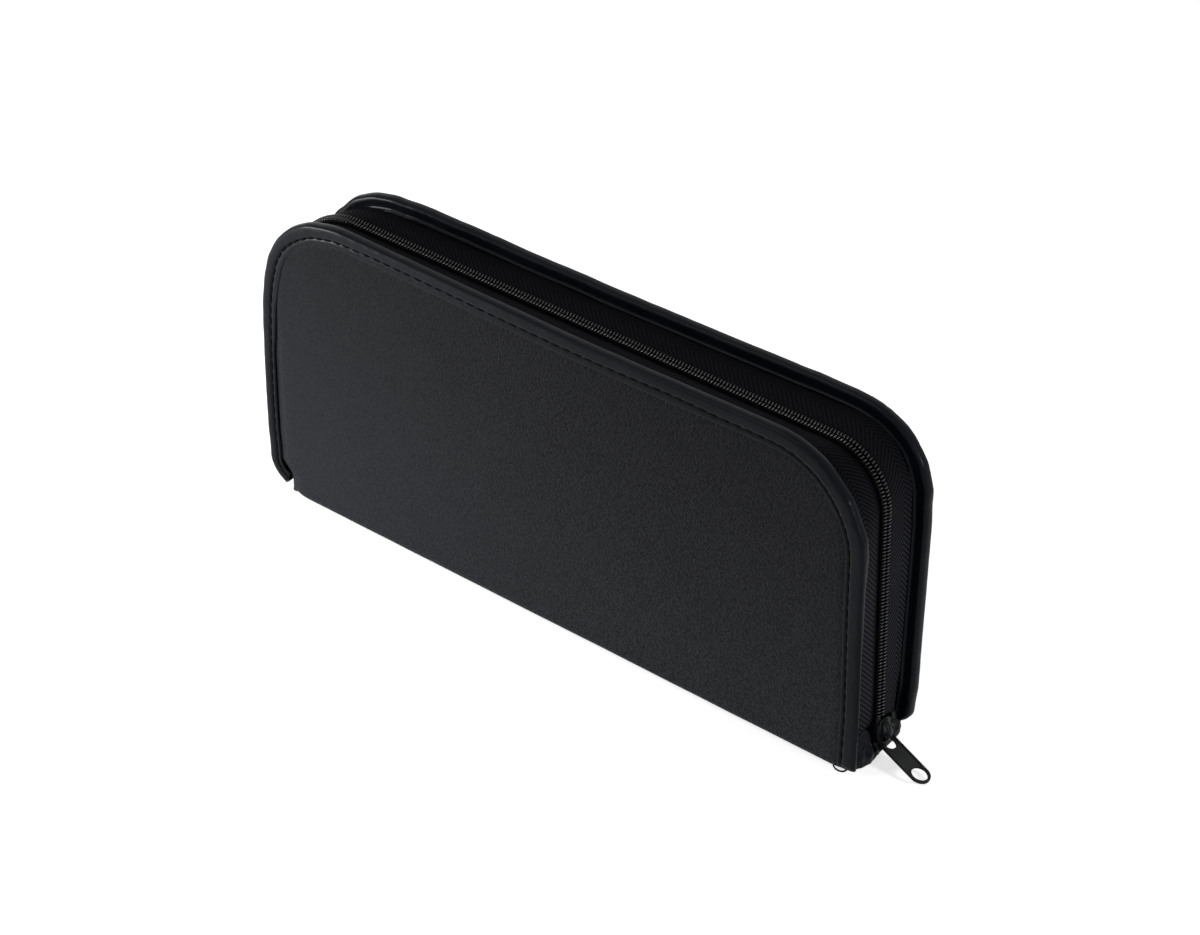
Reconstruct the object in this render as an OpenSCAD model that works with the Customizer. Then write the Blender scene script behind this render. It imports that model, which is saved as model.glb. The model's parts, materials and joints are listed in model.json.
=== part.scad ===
/* [Case] */
// Length of the covers along the spine
case_len = 320; // [280:1:380]
// Height of the covers above the resting face
case_h = 147; // [138:1:170]
// Distance between the covers' outer faces at the middle of the spine
spine_w = 31.4; // [31:0.2:40]
// How far the front cover leans out from upright, in degrees
front_lean = 3.6; // [0.6:0.1:4.2]
// How far the rear cover leans out from upright, in degrees
rear_lean = 1; // [0.6:0.1:3]
// How far each cover splays towards the zip end, in degrees
end_splay = 1.2; // [0:0.1:1.2]
// Outer corner radius of the front cover at the zip end
zip_corner_r = 45; // [34:1:50]
// Outer corner radius of the rear cover at the zip end
rear_zip_corner_r = 35; // [32:1:50]
// Outer corner radius of the covers at the far end
far_corner_r = 50; // [30:1:55]
// Radius of the covers' foot corner at the zip end
zip_foot_r = 6; // [4:0.5:8]
// Radius of the covers' foot corner at the far end
far_foot_r = 14; // [8:0.5:18]

/* [Cover layers] */
// Height and depth of the crease axis inside the fold of the spine
crease_r = 5; // [5:0.1:6]
// Gap between the fold along the crease and the cover above it
crease_gap = 0.35; // [0.3:0.05:0.6]
// Thickness of the grained outer skin
skin_t = 1.2; // [0.8:0.1:1.4]
// Rise of the padded skin inside the edge binding
pad_rise = 0.6; // [0.2:0.1:0.7]
// Thickness of the stiff board
board_t = 1.6; // [1.2:0.1:2]
// Thickness of the lining cloth
lining_t = 0.8; // [0.5:0.1:1]

/* [Edge binding] */
// Thickness of the binding strip
binding_t = 0.8; // [0.6:0.1:0.8]
// Width of the binding on the outer face
binding_w = 8.6; // [7:0.1:11]
// Distance of the puckered strip's face at the zip end inside the covers' ends
zip_strip_inset = 1.5; // [1:0.1:2]
// Height of the puckered strip above the table at the zip end's rear corner
zip_strip_lift = 2.4; // [1.5:0.1:2.6]
// Width of the puckered strip at the far end
far_strip_w = 4.5; // [3.5:0.1:5]
// Width of the binding on the inner face
inner_leg_w = 6; // [5:0.1:6.5]
// Gap between the binding's edge and the padded skin
pad_gap = 0.3; // [0.2:0.1:0.8]
// Distance of the stitch line from the outer edge
stitch_inset = 7; // [4.5:0.1:8]
// Distance from one stitch to the next
stitch_pitch = 5.7; // [4.5:0.1:8]
// Length of one stitch
stitch_len = 4.5; // [3:0.1:5]
// Width of the thread
thread_w = 0.7; // [0.4:0.1:1]
// Height of the thread above the binding
thread_rise = 0.3; // [0.2:0.1:0.5]

/* [Zip] */
// Sideways place of the chain at the resting face
chain_y = 2.4; // [0:0.1:3]
// How far the chain's plane leans to the front, in degrees
chain_lean = 2.4; // [1:0.1:3]
// Depth of the chain's face below the top edge of the covers
top_recess = 5.5; // [5:0.5:8]
// Depth of the chain's face inside the end edges of the covers
end_recess = 3.9; // [3.5:0.1:5]
// Corner radius of the chain's face at the zip end
chain_zip_r = 26; // [22:1:32]
// Corner radius of the chain's face at the far end
chain_far_r = 38; // [26:1:42]
// Thickness of the zip tape
tape_t = 0.9; // [0.6:0.1:1]
// Distance of each tape's edge from the chain's centre
tape_gap = 1.7; // [1.6:0.1:2]
// Height of the coil above its tape
coil_h = 2.2; // [1.8:0.1:2.6]
// Width of one row of the coil
coil_w = 3; // [2.6:0.1:3.2]
// Gap between the two rows of the coil
coil_gap = 0.1; // [0.1:0.05:0.4]
// Height of the tapes' cut ends at the chain
tape_end_chain = 18.9; // [18.8:0.1:24]
// Height of the tapes' cut ends at the covers
tape_end_cover = 12; // [10:0.5:16]

/* [Slider] */
// Length of the slider along the chain
slider_len = 12; // [11:0.5:13]
// Height of the slider's lower end when closed
slider_z = 6.5; // [6:0.1:6.6]
// Thickness of the slider's plates
plate_t = 1.2; // [1:0.1:1.4]
// Width of the slider's side walls
wall_w = 1.5; // [1:0.1:2]
// Clearance around the chain and the tape inside the slider
chain_gap = 0.3; // [0.25:0.05:0.4]
// Width of the post that parts the two rows
post_w = 2.6; // [2:0.1:2.6]
// Length of the post along the chain
post_len = 3.6; // [3:0.1:5]
// Width of the bail
bail_w = 3; // [2.4:0.1:3.4]
// Outer radius of the bail's arch
bail_r = 3.5; // [3.2:0.1:3.6]
// Thickness of the bail's arch
bail_t = 1.4; // [1:0.1:1.4]
// Height of the bail's centre above the resting face
bail_z = 11.6; // [11:0.1:12]
// Height of the bail's centre over the slider's outer plate
bail_rise = 1.8; // [1.6:0.1:2.2]

/* [Puller] */
// Distance from the puller's bar to the centre of its end hole
pull_reach = 20.8; // [16:0.1:24]
// Half of the puller's width
pull_r = 5.3; // [5:0.1:6]
// Radius of the hole at the puller's end
pull_hole_r = 3.5; // [2.5:0.1:3.8]
// Thickness of the puller
pull_t = 1.3; // [1:0.1:1.5]
// Height of the raised rim around the puller
rim_t = 0.35; // [0.2:0.05:0.5]
// Width of the raised rim
rim_w = 1.1; // [0.6:0.1:1.3]
// Width of the slot that the bail passes through
slot_w = 5.7; // [5:0.1:6.5]
// Depth of that slot, from the bar outwards
slot_d = 3.3; // [3.2:0.1:4]
// Radius of the puller's bar
bar_r = 1.1; // [0.9:0.05:1.2]
// Gap between the puller's lowest edge and the resting face
tip_gap = 0.3; // [0.2:0.1:1]
// How far the puller is turned towards the front, in degrees
pull_yaw = 6; // [0:0.5:8]

/* [Pen loops] */
// Number of loops in each elastic band
loop_n = 7; // [4:1:7]
// Distance from one loop to the next
loop_pitch = 30; // [26:1:31]
// Outer width of one loop
loop_w = 21; // [18:0.5:23]
// Height of one loop above the lining
loop_h = 9; // [8:0.1:9]
// Thickness of the elastic band
elastic_t = 1; // [0.6:0.1:1.2]
// Length of the sewn tab at each end of a band
tab_len = 6; // [4:0.5:10]
// Height of the lower bands above the resting face
lower_band_z = 34; // [32:1:44]
// Height of the upper bands above the resting face
upper_band_z = 92; // [80:1:98]
// Width of each elastic band
band_w = 22; // [16:1:24]

/* [Hidden] */
$fn = 48;
// number of straight pieces in each rounded corner
arc_steps = 12;
half_len = case_len / 2;
// layers of a cover, counted inwards from the binding's outer face
skin_in = binding_t + skin_t;
board_in = skin_in + board_t;
lining_in = board_in + lining_t;
cover_t = lining_in + binding_t;
// the chain's coil and tape, counted inwards from the chain's face
tape_out = coil_h;
tape_in = coil_h + tape_t;
// clearance between the slider and what it runs over
chain_x = half_len - end_recess;
slider_top_x = chain_x + chain_gap + plate_t;
slider_half_w = coil_w + chain_gap + wall_w;
bail_x = slider_top_x + bail_rise;
// the puller hangs from the bail until its end is tip_gap above the resting face
pull_drop = bail_z - tip_gap - pull_t / 2 - rim_t;
pull_angle = asin(pull_drop / (pull_reach + pull_r));
// far larger than the case, for cutting planes
big = 2 * case_len;
black = "#26272a";
vinyl = "#1d1e22";
cloth = "#2a2a2c";
metal = "#303338";

// points of an arc about [cx, cy] from angle a0 to a1
function arc(cx, cy, r, a0, a1) =
    [for (i = [0 : arc_steps]) let (a = a0 + (a1 - a0) * i / arc_steps) [cx + r * cos(a), cy + r * sin(a)]];

// corner radius at the zip end of the cover that is being drawn; rear_frame sets the rear cover's
$zip_corner = zip_corner_r;

// outline of a cover, d inside its outer edge, standing on the crease
function cover_pts(d) =
    let (a = half_len - d,
         h = case_h - d,
         rz = $zip_corner - d,
         rf = far_corner_r - d,
         fz = max(zip_foot_r - d, 0.5),
         ff = max(far_foot_r - d, 0.5))
    concat(arc(a - fz, crease_r + fz, fz, -90, 0),
           arc(a - rz, h - rz, rz, 0, 90),
           arc(-a + rf, h - rf, rf, 90, 180),
           arc(-a + ff, crease_r + ff, ff, 180, 270));

// outline of the chain's path, d inside its face, open at the foot
function chain_pts(d) =
    let (a = half_len - end_recess - d,
         h = case_h - top_recess - d,
         rz = chain_zip_r - d,
         rf = chain_far_r - d)
    concat([[a, -crease_r]],
           arc(a - rz, h - rz, rz, 0, 90),
           arc(-a + rf, h - rf, rf, 90, 180),
           [[-a, -crease_r]]);

// one upright slab with the given outline, from depth y0 to depth y1
module slab(pts, y0, y1) {
    translate([0, y1, 0])
        rotate([90, 0, 0])
            linear_extrude(y1 - y0)
                polygon(pts);
}

// the part of a cover's outline that the edge strip of width w leaves free, open at the foot
module inside_strip(w, y0, y1) {
    slab(cover_pts(w), y0, y1);
    translate([-half_len + w, y0, 0])
        cube([case_len - 2 * w, y1 - y0, crease_r + max(far_foot_r, zip_foot_r)]);
}

// places a cover drawn with its outer face at y = 0 and its depth along +y
module front_frame() {
    translate([0, -spine_w / 2, 0])
        rotate([0, 0, -end_splay])
            translate([0, crease_r, crease_r])
                rotate([front_lean, 0, 0])
                    translate([0, -crease_r, -crease_r])
                        children();
}

module rear_frame() {
    $zip_corner = rear_zip_corner_r;
    translate([0, spine_w / 2, 0])
        mirror([0, 1, 0])
            rotate([0, 0, -end_splay])
                translate([0, crease_r, crease_r])
                    rotate([rear_lean, 0, 0])
                        translate([0, -crease_r, -crease_r])
                            children();
}

// the upright plane that the chain lies in, with y = 0 between its two rows
module chain_frame() {
    translate([0, chain_y, 0])
        rotate([chain_lean, 0, 0])
            children();
}

module cover_skin() {
    slab(cover_pts(binding_t), binding_t, skin_in);
    slab(cover_pts(binding_w + pad_gap), binding_t - pad_rise, binding_t);
}

module cover_board() {
    slab(cover_pts(binding_t), skin_in, board_in);
}

module cover_lining() {
    slab(cover_pts(binding_t), board_in, lining_in);
}

// strip rolled over the cover's edge, with a leg on each face
module cover_binding() {
    difference() {
        slab(cover_pts(0), 0, cover_t);
        slab(cover_pts(binding_t), binding_t, lining_in);
        inside_strip(binding_w, -1, binding_t);
        inside_strip(inner_leg_w, lining_in, cover_t + 1);
        // the strip is open along the crease
        translate([-half_len + far_foot_r, -1, 0])
            cube([case_len - zip_foot_r - far_foot_r, cover_t + 2, crease_r + binding_t]);
    }
}

// straight and curved runs of the stitch line, as [place, turn] for each stitch
function side_stitches(x, top) =
    let (low = crease_r + 2 * stitch_pitch,
         n = floor((top - low) / stitch_pitch))
    [for (i = [0 : n - 1]) [[x, low + (i + 0.5) * (top - low) / n], 90]];

function corner_stitches(cx, cy, r, a0) =
    let (n = floor(r * PI / 2 / stitch_pitch))
    [for (i = [0 : n - 1]) let (a = a0 + (i + 0.5) * 90 / n) [[cx + r * cos(a), cy + r * sin(a)], a + 90]];

function top_stitches(x0, x1, z) =
    let (n = floor((x1 - x0) / stitch_pitch))
    [for (i = [0 : n - 1]) [[x0 + (i + 0.5) * (x1 - x0) / n, z], 0]];

function stitch_places() =
    let (a = half_len - stitch_inset,
         h = case_h - stitch_inset,
         rz = $zip_corner - stitch_inset,
         rf = far_corner_r - stitch_inset)
    concat(side_stitches(a, h - rz),
           corner_stitches(a - rz, h - rz, rz, 0),
           top_stitches(-a + rf, a - rz, h),
           corner_stitches(-a + rf, h - rf, rf, 90),
           side_stitches(-a, h - rf));

module cover_stitches() {
    for (s = stitch_places())
        translate([s[0][0], -thread_rise, s[0][1]])
            rotate([0, -s[1], 0])
                translate([-stitch_len / 2, 0, -thread_w / 2])
                    cube([stitch_len, thread_rise, thread_w]);
}

// everything of a cover that lies deeper than the lining, less the binding's inner leg
module below_lining() {
    translate([-big / 2, -big, -big / 2])
        cube([big, big + lining_in, big]);
    difference() {
        slab(cover_pts(0), lining_in - 1, cover_t);
        inside_strip(inner_leg_w, lining_in - 2, cover_t + 1);
    }
}

// half tape standing between a cover's lining and the chain, drawn on the +y side of the chain
module tape_wall() {
    reach = spine_w + case_h * tan(front_lean + rear_lean);
    difference() {
        slab(chain_pts(tape_out), tape_gap, reach);
        slab(chain_pts(tape_in), tape_gap - 1, reach + 1);
        tape_end_cut();
    }
}

// the tapes' lower ends fall from the chain towards the covers
module tape_end_cut() {
    run = spine_w / 2;
    drop = tape_end_chain - tape_end_cover;
    rotate([90, 0, 90])
        linear_extrude(big, center = true)
            polygon([[0, tape_end_chain], [0, -big], [big, -big], [big, tape_end_cover - drop],
                [run, tape_end_cover]]);
}

// strip of the tape that is sewn flat on the lining, between the binding and the wall
module tape_flange() {
    difference() {
        slab(cover_pts(inner_leg_w), lining_in, lining_in + tape_t);
        slab(chain_pts(tape_in), lining_in - 1, lining_in + tape_t + 1);
        translate([-big / 2, -big / 2, -big])
            cube([big, big, big + tape_end_cover]);
    }
}

// one row of the coil, on the +y side of the chain
module coil_rail() {
    difference() {
        slab(chain_pts(0), coil_gap / 2, coil_w);
        slab(chain_pts(coil_h), coil_gap / 2 - 1, coil_w + 1);
        translate([-big / 2, -1, -big])
            cube([big, coil_w + 2, big + tape_end_chain]);
    }
}

// elastic band sewn down between its loops, drawn on the lining
module elastic_band() {
    half = (loop_n - 1) * loop_pitch / 2;
    end = half + loop_w / 2 + tab_len;
    outer = [for (i = [0 : loop_n - 1]) let (c = i * loop_pitch - half)
        each [for (a = [0 : 15 : 180])
            [c - loop_w / 2 * cos(a), max(loop_h * sin(a), elastic_t)]]];
    inner = [for (i = [loop_n - 1 : -1 : 0]) let (c = i * loop_pitch - half)
        each [for (a = [180 : -15 : 0])
            [c - (loop_w / 2 - elastic_t) * cos(a), (loop_h - elastic_t) * sin(a)]]];
    translate([0, lining_in, 0])
        linear_extrude(band_w)
            polygon(concat([[-end, 0], [-end, elastic_t]], outer, [[end, elastic_t], [end, 0]], inner));
}

// plan of the spine between the two crease lines
module spine_plan() {
    x0 = -half_len + far_foot_r;
    x1 = half_len - zip_foot_r;
    y0 = spine_edge(x0);
    y1 = spine_edge(x1);
    polygon([[x0, -y0], [x1, -y1], [x1, y1], [x0, y0]]);
}

// half of the spine's width between the crease lines, at a place along it
function spine_edge(x) = spine_w / 2 - crease_r / cos(end_splay) + x * tan(end_splay);

// quarter tube of skin around a crease line, in a cover's frame before it leans
module crease_skin() {
    r = crease_r - binding_t + pad_rise;
    len = case_len - zip_foot_r - far_foot_r;
    translate([-half_len + far_foot_r, crease_r, crease_r])
        rotate([0, 90, 0])
            intersection() {
                difference() {
                    cylinder(h = len, r = r);
                    translate([0, 0, -1])
                        cylinder(h = len + 2, r = r - skin_t);
                }
                // the fold ends crease_gap below the cover
                translate([crease_gap, -r, 0])
                    cube([r, r, len]);
            }
}

// puckered end of the binding that closes the spine's end; x0 and x1 are its two ends
module spine_end(x0, x1, low) {
    h = spine_edge(x0) - pad_gap;
    lift = low / 2;
    translate([x0, 0, 0])
        rotate([90, 0, 90])
            linear_extrude(x1 - x0)
                polygon([[-h, lift], [-0.4 * h, low / 4], [0.3 * h, lift], [h, low],
                    [h, low + crease_r], [0.4 * h, crease_r + 0.4], [-0.4 * h, crease_r + 0.4],
                    [-h, lift + crease_r]]);
}

module spine_skin() {
    color(black)
        linear_extrude(skin_t)
            spine_plan();
}

module spine_board() {
    color("#6b5a48")
        translate([0, 0, skin_t])
            linear_extrude(board_t)
                spine_plan();
}

module spine_lining() {
    color(cloth)
        translate([0, 0, skin_t + board_t])
            linear_extrude(lining_t)
                spine_plan();
}

module front_crease_skin() {
    color(black)
        translate([0, -spine_w / 2, 0])
            rotate([0, 0, -end_splay])
                crease_skin();
}

module rear_crease_skin() {
    color(black)
        translate([0, spine_w / 2, 0])
            mirror([0, 1, 0])
                rotate([0, 0, -end_splay])
                    crease_skin();
}

module zip_end_spine_binding() {
    color(vinyl)
        spine_end(half_len - zip_foot_r, half_len - zip_strip_inset, zip_strip_lift);
}

module far_end_spine_binding() {
    color(vinyl)
        mirror([1, 0, 0])
            mirror_spine_end();
}

// the far end is narrower, so it is drawn from its own width
module mirror_spine_end() {
    x0 = half_len - far_foot_r;
    h = spine_edge(-x0 - far_strip_w) - pad_gap;
    translate([x0, 0, 0])
        rotate([90, 0, 90])
            linear_extrude(far_strip_w)
                polygon([[-h, 0.6], [h, 0.6], [h, crease_r + 2], [0.4 * h, crease_r + 0.4],
                    [-0.4 * h, crease_r + 0.4], [-h, crease_r + 2]]);
}

module front_cover_skin() {
    color(black) front_frame() cover_skin();
}

module front_board() {
    color("#6b5a48") front_frame() cover_board();
}

module front_lining() {
    color(cloth) front_frame() cover_lining();
}

module front_binding() {
    color(vinyl) front_frame() cover_binding();
}

module front_binding_stitches() {
    color("#101013") front_frame() cover_stitches();
}

module front_zip_tape() {
    color("#232428")
        difference() {
            union() {
                chain_frame() mirror([0, 1, 0]) tape_wall();
                front_frame() tape_flange();
            }
            front_frame() below_lining();
        }
}

module front_zip_coil() {
    color("#15161a") chain_frame() mirror([0, 1, 0]) coil_rail();
}

module front_upper_elastic() {
    color("#1a1a1c") front_frame() translate([0, 0, upper_band_z]) elastic_band();
}

module front_lower_elastic() {
    color("#1a1a1c") front_frame() translate([0, 0, lower_band_z]) elastic_band();
}

module rear_cover_skin() {
    color(black) rear_frame() cover_skin();
}

module rear_board() {
    color("#6b5a48") rear_frame() cover_board();
}

module rear_lining() {
    color(cloth) rear_frame() cover_lining();
}

module rear_binding() {
    color(vinyl) rear_frame() cover_binding();
}

module rear_binding_stitches() {
    color("#101013") rear_frame() cover_stitches();
}

module rear_zip_tape() {
    color("#232428")
        difference() {
            union() {
                chain_frame() tape_wall();
                rear_frame() tape_flange();
            }
            rear_frame() below_lining();
        }
}

module rear_zip_coil() {
    color("#15161a") chain_frame() coil_rail();
}

module rear_upper_elastic() {
    color("#1a1a1c") rear_frame() translate([0, 0, upper_band_z]) elastic_band();
}

module rear_lower_elastic() {
    color("#1a1a1c") rear_frame() translate([0, 0, lower_band_z]) elastic_band();
}

// two plates, two side walls and the post that parts the rows at the lower end
module slider_body() {
    coil_top = chain_x + chain_gap;
    tape_top = chain_x - tape_out + chain_gap;
    tape_low = chain_x - tape_in - chain_gap;
    half = slider_half_w;
    color(metal)
        chain_frame()
            translate([0, 0, slider_z]) {
                // outer plate
                translate([coil_top, -half, 0])
                    cube([plate_t, 2 * half, slider_len]);
                // inner plate
                translate([tape_low - plate_t, -half, 0])
                    cube([plate_t, 2 * half, slider_len]);
                // side walls over the coil
                for (side = [0, 1])
                    mirror([0, side, 0])
                        translate([tape_top, half - wall_w, 0])
                            cube([coil_top - tape_top, wall_w, slider_len]);
                // post
                translate([tape_low, -post_w / 2, 0])
                    cube([coil_top - tape_low, post_w, post_len]);
            }
}

// arch over the puller's bar
module slider_bail() {
    color(metal)
        chain_frame()
            translate([bail_x, bail_w / 2, bail_z])
                rotate([90, 0, 0])
                    difference() {
                        union() {
                            cylinder(h = bail_w, r = bail_r);
                            translate([-bail_rise, -bail_r, 0])
                                cube([bail_rise, 2 * bail_r, bail_w]);
                        }
                        translate([0, 0, -1])
                            cylinder(h = bail_w + 2, r = bail_r - bail_t);
                        translate([-bail_rise - 1, -bail_r + bail_t, -1])
                            cube([bail_rise + 1, 2 * (bail_r - bail_t), bail_w + 2]);
                        translate([-bail_rise - 2 * bail_r, -bail_r - 1, -1])
                            cube([2 * bail_r, 2 * bail_r + 2, bail_w + 2]);
                    }
}

// outline of the puller from its bar to its round end, d inside the edge
module pull_plan(d) {
    union() {
        translate([pull_reach, 0])
            circle(r = pull_r - d);
        translate([0, -pull_r + d])
            square([pull_reach, 2 * (pull_r - d)]);
    }
}

module slider_puller() {
    slot_x = bar_r;
    color(metal)
        chain_frame()
            translate([bail_x, 0, bail_z])
                rotate([0, 0, -pull_yaw])
                    rotate([0, pull_angle, 0])
                        difference() {
                            union() {
                                translate([0, 0, -pull_t / 2])
                                    linear_extrude(pull_t)
                                        pull_plan(0);
                                // rim on both faces
                                translate([0, 0, -pull_t / 2 - rim_t])
                                    linear_extrude(pull_t + 2 * rim_t)
                                        difference() {
                                            pull_plan(0);
                                            translate([-1, 0])
                                                pull_plan(rim_w);
                                        }
                                // round bar that the bail holds
                                rotate([90, 0, 0])
                                    cylinder(h = 2 * pull_r, r = bar_r, center = true);
                            }
                            // D shaped slot for the bail
                            translate([slot_x, 0, -pull_t])
                                linear_extrude(2 * pull_t)
                                    intersection() {
                                        translate([slot_d - slot_w / 2, 0])
                                            union() {
                                                circle(r = slot_w / 2);
                                                translate([-slot_w, -slot_w / 2])
                                                    square([slot_w, slot_w]);
                                            }
                                        translate([0, -slot_w])
                                            square([slot_d, 2 * slot_w]);
                                    }
                            // hole at the end
                            translate([pull_reach, 0, -pull_t])
                                cylinder(h = 2 * pull_t, r = pull_hole_r);
                        }
}

spine_skin();
spine_board();
spine_lining();
front_crease_skin();
rear_crease_skin();
zip_end_spine_binding();
far_end_spine_binding();
front_cover_skin();
front_board();
front_lining();
front_binding();
front_binding_stitches();
front_zip_tape();
front_zip_coil();
front_upper_elastic();
front_lower_elastic();
rear_cover_skin();
rear_board();
rear_lining();
rear_binding();
rear_binding_stitches();
rear_zip_tape();
rear_zip_coil();
rear_upper_elastic();
rear_lower_elastic();
slider_body();
slider_bail();
slider_puller();
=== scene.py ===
import json
import random
from math import atan2, copysign, cos, exp, pi, radians, sin, sqrt, tan
from types import SimpleNamespace

import bmesh
import bpy
from mathutils import Matrix, Vector, noise


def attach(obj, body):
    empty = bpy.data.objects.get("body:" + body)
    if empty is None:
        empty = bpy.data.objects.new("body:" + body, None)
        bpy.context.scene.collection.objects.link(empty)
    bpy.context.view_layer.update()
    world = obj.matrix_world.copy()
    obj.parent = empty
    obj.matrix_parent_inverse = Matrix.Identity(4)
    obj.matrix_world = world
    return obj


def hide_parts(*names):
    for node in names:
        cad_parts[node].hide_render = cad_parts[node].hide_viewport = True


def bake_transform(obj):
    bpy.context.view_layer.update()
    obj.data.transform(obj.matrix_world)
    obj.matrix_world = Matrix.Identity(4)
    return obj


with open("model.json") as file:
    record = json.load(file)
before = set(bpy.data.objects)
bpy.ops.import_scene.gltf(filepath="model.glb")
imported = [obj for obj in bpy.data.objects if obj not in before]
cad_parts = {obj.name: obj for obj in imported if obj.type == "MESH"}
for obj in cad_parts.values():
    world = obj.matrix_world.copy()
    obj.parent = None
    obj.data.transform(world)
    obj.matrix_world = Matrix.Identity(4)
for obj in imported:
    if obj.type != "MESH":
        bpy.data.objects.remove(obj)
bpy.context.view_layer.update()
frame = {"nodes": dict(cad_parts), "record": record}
scene = bpy.context.scene
scene.view_settings.view_transform = "Standard"
mm = 0.001

caseSize = dict(  # mm and degrees, as the solids are
    length=320, height=147, spine=31.4, crease=5, frontLean=3.6, rearLean=1, splay=1.2, frontDrop=0.8,
    zipCorner={"front": 45, "rear": 35}, farCorner=50, zipFoot={"front": 0, "rear": 11}, farFoot=14, chainY=2.4,
    chainLean=2.4, topRecess=5.5, endRecess=3.9, chainZip=26, chainFar=38, coilHeight=2.2, lining=4.4)


def named(values):
    return SimpleNamespace(**values)


case = named(caseSize)


def turn(angle, axis):
    return Matrix.Rotation(radians(angle), 4, axis)


def framed(a, b, c, at=(0, 0, 0)):
    # a frame from its three axes and its origin
    spot = Matrix((a, b, c)).transposed().to_4x4()
    spot.translation = at
    return spot


def coverPlace(lean):
    axis = Matrix.Translation((0, case.crease, case.crease))
    return (Matrix.Translation((0, -case.spine / 2, 0)) @ turn(-case.splay, "Z")
            @ axis @ turn(lean, "X") @ axis.inverted())


# cover frames: x along the case, y inwards from the outer face, z up, all in mm
frontPlace = coverPlace(case.frontLean)
rearPlace = Matrix.Scale(-1, 4, (0, 1, 0)) @ coverPlace(case.rearLean)
chainPlace = Matrix.Translation((0, case.chainY, 0)) @ turn(case.chainLean, "X")
covers = {"front": (frontPlace, "front_leaf", -1), "rear": (rearPlace, "rear_leaf", 1)}


def feed(tree, socket, value):
    # an input takes another node's output, a colour or a number
    if isinstance(value, bpy.types.NodeSocket):
        tree.links.new(value, socket)
    else:
        socket.default_value = (*value, 1) if socket.type == "RGBA" else value


def setNode(tree, node, **values):
    # each value goes to the input of that name, or else to the node's own setting
    for key, value in values.items():
        socket = node.inputs.get(key.replace("_", " "))
        if socket is None:
            setattr(node, key, value)
        else:
            feed(tree, socket, value)
    return node


def addNode(tree, kind, **values):
    return setNode(tree, tree.nodes.new("ShaderNode" + kind), **values)


def mathNode(tree, operation, a, b=None):
    node = addNode(tree, "Math", operation=operation)
    for socket, value in zip(node.inputs, (a, b)):
        if value is not None:
            feed(tree, socket, value)
    return node.outputs[0]


def times(tree, a, b):
    return mathNode(tree, "MULTIPLY", a, b)


def plus(tree, a, b):
    return mathNode(tree, "ADD", a, b)


def weighted(tree, a, aWeight, b, bWeight):
    return plus(tree, times(tree, a, aWeight), times(tree, b, bWeight))


def rangeNode(tree, value, a, b, c=0.0, d=1.0, **values):
    return addNode(tree, "MapRange", Value=value, From_Min=a, From_Max=b, To_Min=c, To_Max=d,
                   **values).outputs["Result"]


def smoothRange(tree, value, a, b):
    return rangeNode(tree, value, a, b, interpolation_type="SMOOTHSTEP")


def mixColor(tree, fac, a, b):
    node = addNode(tree, "Mix", data_type="RGBA")
    for k, value in ((0, fac), (6, a), (7, b)):
        feed(tree, node.inputs[k], value)
    return node.outputs[2]


def noiseNode(tree, coords, scale, detail, **values):
    return addNode(tree, "TexNoise", Vector=coords, Scale=scale, Detail=detail, **values).outputs["Fac"]


def newGroup(name, inputs, outputs):
    # inputs as names with their defaults, None for a vector; outputs are all numbers
    group = bpy.data.node_groups.new(name, "ShaderNodeTree")
    for label, default in inputs.items():
        kind = "NodeSocketVector" if default is None else "NodeSocketFloat"
        socket = group.interface.new_socket(label, in_out="INPUT", socket_type=kind)
        if default is not None:
            socket.default_value = default
    for label in outputs:
        group.interface.new_socket(label, in_out="OUTPUT", socket_type="NodeSocketFloat")
    return group, group.nodes.new("NodeGroupInput").outputs, group.nodes.new("NodeGroupOutput")


def buildPebbleGroup():
    # pebbled grain: low domes of uneven height parted by narrow creases, a little longer than tall
    inputs = {"Vector": None, "Scale": 800.0, "Uneven": 0.35}
    group, given, result = newGroup("pebbleGrain", inputs, ("Height",))
    warp = addNode(group, "TexNoise", Vector=given["Vector"], Detail=2.0,
                   Scale=times(group, given["Scale"], 0.45))
    shift = addNode(group, "VectorMath", operation="SCALE", Vector=warp.outputs["Color"],
                    Scale=mathNode(group, "DIVIDE", given["Uneven"], given["Scale"]))
    moved = addNode(group, "VectorMath", operation="ADD", Vector=given["Vector"])
    feed(group, moved.inputs[1], shift.outputs[0])
    stretched = addNode(group, "Mapping", vector_type="POINT", Vector=moved.outputs[0], Scale=(0.72, 1.0, 1.0))
    spot = stretched.outputs[0]
    edges, cells = [
        addNode(group, "TexVoronoi", Vector=spot, Scale=given["Scale"], feature=kind, Randomness=0.95)
        for kind in ("DISTANCE_TO_EDGE", "F1")]
    dome = smoothRange(group, edges.outputs["Distance"], 0.0, 0.42)
    tint = addNode(group, "SeparateColor", Color=cells.outputs["Color"]).outputs[0]
    tall = plus(group, times(group, tint, 0.45), 0.55)
    small = noiseNode(group, spot, times(group, given["Scale"], 0.5), 3.0, Roughness=0.6)
    setNode(group, result, Height=weighted(group, dome, tall, small, 0.9))
    return group


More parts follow.
